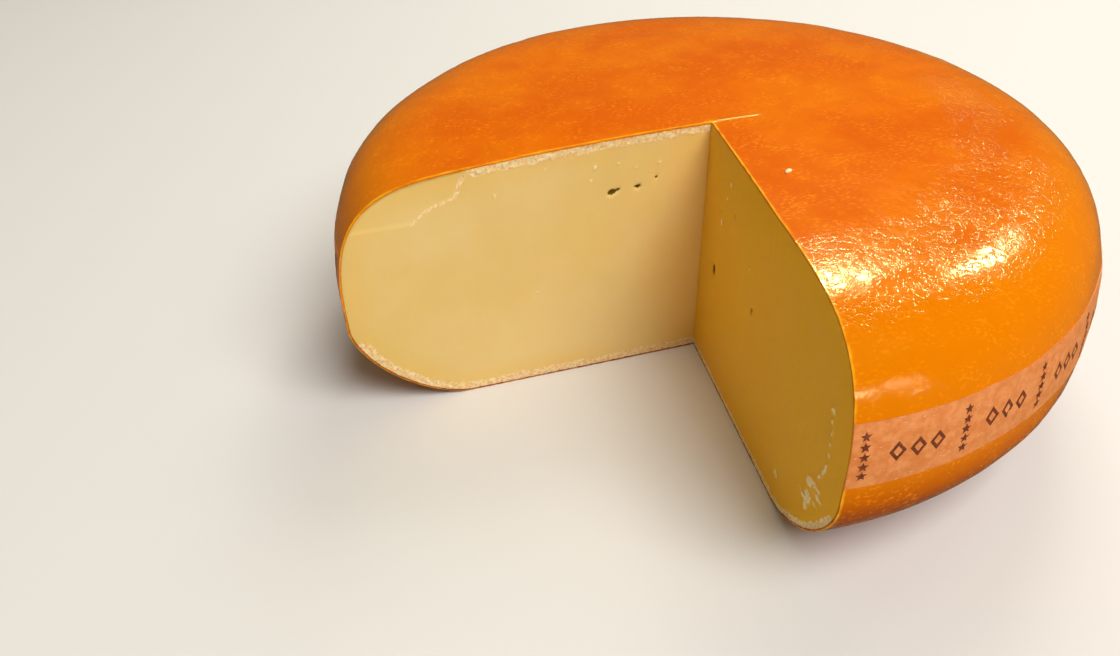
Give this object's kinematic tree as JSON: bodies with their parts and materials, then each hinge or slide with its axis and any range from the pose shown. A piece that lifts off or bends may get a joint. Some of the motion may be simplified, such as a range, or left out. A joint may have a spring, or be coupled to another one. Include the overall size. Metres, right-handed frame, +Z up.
{
  "type": "cheese wheel",
  "caption": "Gouda cheese wheel with one wedge cut out: pale paste, glossy orange coating and a paper label round the rim.",
  "frame": {"origin": "on the wheel's axis, in the plane it rests on", "axes": "+Z up along the wheel's axis; the missing wedge opens into the -X, -Y quadrant"},
  "size_m": [0.3516, 0.3516, 0.123],
  "materials": {
    "cheese_paste": "satin",
    "rind_coating": "gloss",
    "label_band": "satin"
  },
  "bodies": {
    "root": {"cheese_paste": "cheese_paste", "rind_coating": "rind_coating", "label_band": "label_band"}
  },
  "joints": []
}
